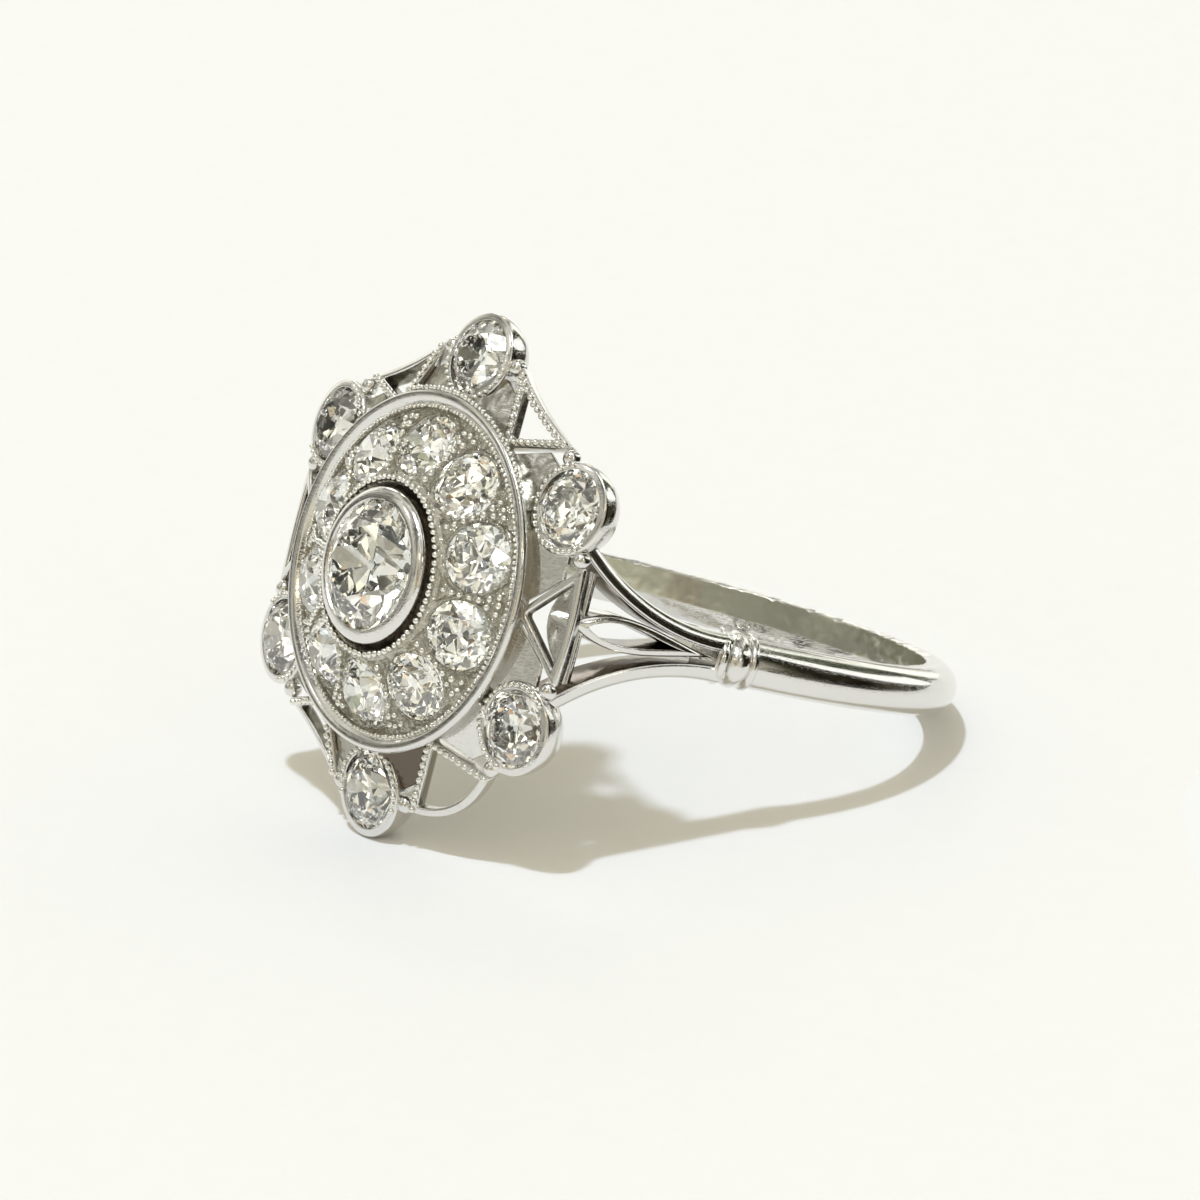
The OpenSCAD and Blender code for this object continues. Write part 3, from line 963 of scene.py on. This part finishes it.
outer_corner = [(5.02, 0, 0.0), (4.98, -3.2, 0.0), (4.98, 3.2, 0.0),
                (4.7, -1.6, 0.05), (4.7, 1.6, 0.05), (4.4, 0, 0.06)]
inner_corner = [(3.25, 0, 0.05), (3.5, 0, 0.06), (3.78, 0, 0.07), (4.08, 0, 0.05)]
corner_angles = [72 + 360 // pave_count * k for k in range(pave_count)]
outer_balls, inner_balls = [[on_slope(r, a + turn, lift) for a in corner_angles for r, turn, lift in corner]
                            for corner in (outer_corner, inner_corner)]
rim_row = [on_slope(5.33, d, 0.06) for d in np.arange(0, 360, 2)]
edge_row = [(5.96 * math.cos(d), 5.96 * math.sin(d), disc_z - 0.1) for d in np.radians(np.arange(38, 112, 2))]
crest_row = [on_slope(2.84, d, 0.05) for d in np.arange(0, 360, 5)]
piece("prong_beads", [beads(outer_balls, 0.12, 0.2, smooth_ball), beads(inner_balls, 0.11, 0.2, smooth_ball)],
      beaded_platinum)
piece("rim_beading", [beads(rim_row, 0.075, 0.25), beads(edge_row, 0.085, 0.25)], beaded_platinum)
piece("bezel_beading", [beads(crest_row, 0.115, 0.2)], beaded_platinum)
rows = [outer_balls, inner_balls, rim_row, edge_row, crest_row]
print("beads on the disc:", sum(len(row) for row in rows))

# %% [markdown]
# ## Table
# The table is a sheet of white board with a faint fibre. Polished metal mirrors it from below. Its end can't
# be seen in the photograph, but a dark stripe along the shank can, so the board ends a little to the right of
# the ring, where its reflection puts the stripe in the right place. The camera sees a backdrop of the board's
# own tone beyond it.

# %% Table
far_mm = 1500
beyond = Vector((-level.y, level.x, 0))
board_outline = [(-far_mm, -far_mm), (17.5, -far_mm), (17.5, -8), (20, 1), (60, 60),
                 (60, far_mm), (-far_mm, far_mm)]
corners = [(level * a + beyond * b) * MM for a, b in board_outline]
floor_mesh = bpy.data.meshes.new("table_top")
floor_mesh.from_pydata(corners, [], [range(len(corners))])
table_top = bpy.data.objects.new("table_top", floor_mesh)
bpy.context.scene.collection.objects.link(table_top)
board, tree, shader = new_material("white_board", Roughness=0.65)
place = add(tree, "ShaderNodeTexCoord").outputs["Object"]
fibre = add(tree, "ShaderNodeTexNoise", {"Vector": place, "Scale": 900.0, "Detail": 5.0}).outputs["Fac"]
tone = mixed(tree, fibre, (0.865, 0.87, 0.86, 1), (0.885, 0.89, 0.88, 1))
grain = add(tree, "ShaderNodeBump", {"Strength": 0.15, "Distance": 0.00002, "Height": fibre})
tree.links.new(tone, shader.inputs["Base Color"])
tree.links.new(grain.outputs[0], shader.inputs["Normal"])
floor_mesh.materials.append(board)
print("board ends", board_outline[2][0], "mm to the right of the frame's origin")

# %% [markdown]
# ## Lamp
# One wide lamp hangs nearly overhead, a little to the front. A sun gives its light the same direction all
# over, which throws the single clear shadow of the photograph, and a few degrees of width soften its edge. It
# is slightly blue, because the room's own fill is warm and the two together come out white.

# %% Lamp
lamp_direction = Vector((0.0625, -0.2125, 1)).normalized()
sun = bpy.data.lights.new("ceiling_lamp", "SUN")
sun.energy = 1.68
sun.color = (0.76, 0.845, 1.0)
sun.angle = math.radians(4)
lamp = bpy.data.objects.new("ceiling_lamp", sun)
bpy.context.scene.collection.objects.link(lamp)
lamp.rotation_euler = lamp_direction.to_track_quat("Z", "Y").to_euler()
lamp_tilt = math.degrees(lamp_direction.angle(Vector((0, 0, 1))))
print("the lamp stands", round(lamp_tilt), "degrees from overhead")

# %% [markdown]
# ## Room
# A mirror shows what stands round it, so what the metal and the stones look like is mostly the room. It could
# be built from walls and cards, but light from so many would render slowly. So it is painted on the world,
# by direction. These helpers say where a direction points and lay one colour over another.

# %% Helpers: directions in the room
world = bpy.data.worlds.new("room")
bpy.context.scene.world = world
world.use_nodes = True
room = world.node_tree
direction = add(room, "ShaderNodeTexCoord").outputs["Generated"]


def between(value, low, high):
    """0 below low and 1 above high, with a soft step. It falls instead where low is above high."""
    return add(room, "ShaderNodeMapRange", {"Value": value, "From Min": low, "From Max": high},
               interpolation_type="SMOOTHSTEP").outputs[0]


def facing(toward):
    """How nearly a direction points the given way, 1 at best."""
    return add(room, "ShaderNodeVectorMath", {0: direction, 1: Vector(toward).normalized()},
               operation="DOT_PRODUCT").outputs["Value"]


def panel(toward, inside, outside):
    """1 within the inside angle of a direction, fading to 0 at the outside angle."""
    return between(facing(toward), math.cos(math.radians(outside)), math.cos(math.radians(inside)))


def painted(mask, colour, below):
    """The colour where the mask is 1, what was there before where it is 0."""
    return mixed(room, mask, below, (*colour, 1) if isinstance(colour, tuple) else colour)


def patchy(colour, scale, detail, low, high, weakest, strongest):
    """The colour times a noise between two strengths."""
    noise = add(room, "ShaderNodeTexNoise", {"Vector": direction, "Scale": scale, "Detail": detail})
    shade = add(room, "ShaderNodeMapRange", {"Value": noise.outputs["Fac"], "From Min": low, "From Max": high,
                                             "To Min": weakest, "To Max": strongest})
    return scaled(room, colour, shade.outputs[0])


print("nodes in the empty room:", len(room.nodes))

# %% [markdown]
# The room is pale to the left and above and dark to the right, which gives the metal its clear light and dark
# stripes. The wall on the camera's side is grey. Soft patches keep all of it from looking painted flat.

# %% Walls and ceiling
dark_side = (0.718, 0.666, -0.2)
colour = ramp(room, facing(dark_side), (
    (0.0, (0.50, 0.49, 0.42)), (0.10, (0.50, 0.49, 0.42)), (0.18, (0.80, 0.81, 0.72)),
    (0.36, (0.95, 0.96, 0.86)), (0.41, (0.13, 0.14, 0.08)), (0.46, (0.045, 0.055, 0.025)),
    (0.60, (0.05, 0.06, 0.03)), (0.81, (0.03, 0.025, 0.012)), (0.90, (0.05, 0.045, 0.03)),
    (1.0, (0.012, 0.008, 0.003))))
colour = painted(between(facing(back), 0.6, 0.85), (0.50, 0.475, 0.375), colour)
colour = painted(between(facing((-0.8, 0.4, 0.1)), 0.66, 0.9), (0.88, 0.87, 0.78), colour)
colour = painted(between(facing((0.2, -0.2, 0.95)), 0.80, 0.95), (0.85, 0.85, 0.80), colour)
colour = patchy(colour, 3.0, 3.0, 0.40, 0.60, 0.25, 1.6)
print("nodes in the room:", len(room.nodes))

# %% [markdown]
# One narrow slit in the dark side draws the thin bright line along the shank. It is an arc of a ring round
# its own direction. Near the lamp the ceiling is bright, a brownish spot stands beside the camera, and a few
# small lights give the stones and the beads their sparks.

# %% Slit and small lights
halo = facing((-0.194, 0.691, 0.697))
slit = product(room, between(halo, 0.62, 0.65), between(halo, 0.835, 0.805))
slit = product(room, slit, between(facing(dark_side), 0.52, 0.57))
colour = painted(slit, (1.5, 1.5, 1.4), colour)
colour = painted(panel(lamp_direction, 8, 12), (5.0, 5.0, 4.9), colour)
colour = painted(panel((0.66, -0.72, 0.2), 7, 13), (0.42, 0.29, 0.18), colour)
small_lights = [
    ((0.35, -0.7, 0.62), 2.5, (7, 5.4, 3.0)), ((0.9, -0.1, 0.5), 3.0, (6, 6, 6)),
    ((-0.5, -0.6, 0.65), 3.0, (3, 3, 3.3)), ((-0.55, 0.45, 0.7), 3.0, (6, 5.6, 4.2)),
    ((-0.75, 0.35, 0.55), 5.0, (3.5, 3.6, 3.6))]
for toward, size, light in small_lights:
    colour = painted(panel(toward, size, size * 1.6), light, colour)
print("small lights:", len(small_lights))

# %% [markdown]
# In so soft a room the stones would look calmer than in the photograph, so light that passes through one
# meets a room with more contrast. Matt surfaces get one even warm fill instead, which colours the shadow, and
# the camera sees a plain pale backdrop.

# %% What stones, matt surfaces and the camera see
seen_by = add(room, "ShaderNodeLightPath").outputs
colour = painted(seen_by["Is Transmission Ray"], patchy(colour, 5.0, 2.0, 0.42, 0.60, 0.02, 2.8), colour)
colour = painted(seen_by["Is Diffuse Ray"], (0.625, 0.572, 0.436), colour)
colour = painted(seen_by["Is Camera Ray"], (0.955, 0.965, 0.92), colour)
room.links.new(colour, room.nodes["Background"].inputs["Color"])
print("nodes in the finished room:", len(room.nodes))

# %% [markdown]
# ## Picture
# The photograph is bright and close to clipping. The plain sRGB view is kept, and lamp and fill are set so
# that the table comes out just below white. Light may bounce often inside a diamond before it leaves, so the
# bounce limits are raised.

# %% View and bounces
scene = bpy.context.scene
scene.view_settings.view_transform = "Standard"
scene.view_settings.look = "None"
scene.view_settings.exposure = 0.0
scene.cycles.max_bounces = 16
scene.cycles.glossy_bounces = 14
scene.cycles.transmission_bounces = 14
scene.cycles.diffuse_bounces = 3
print("pieces made:", len(pieces))
print("triangles added:", sum(len(p.vertices) - 2 for o in pieces for p in o.data.polygons))
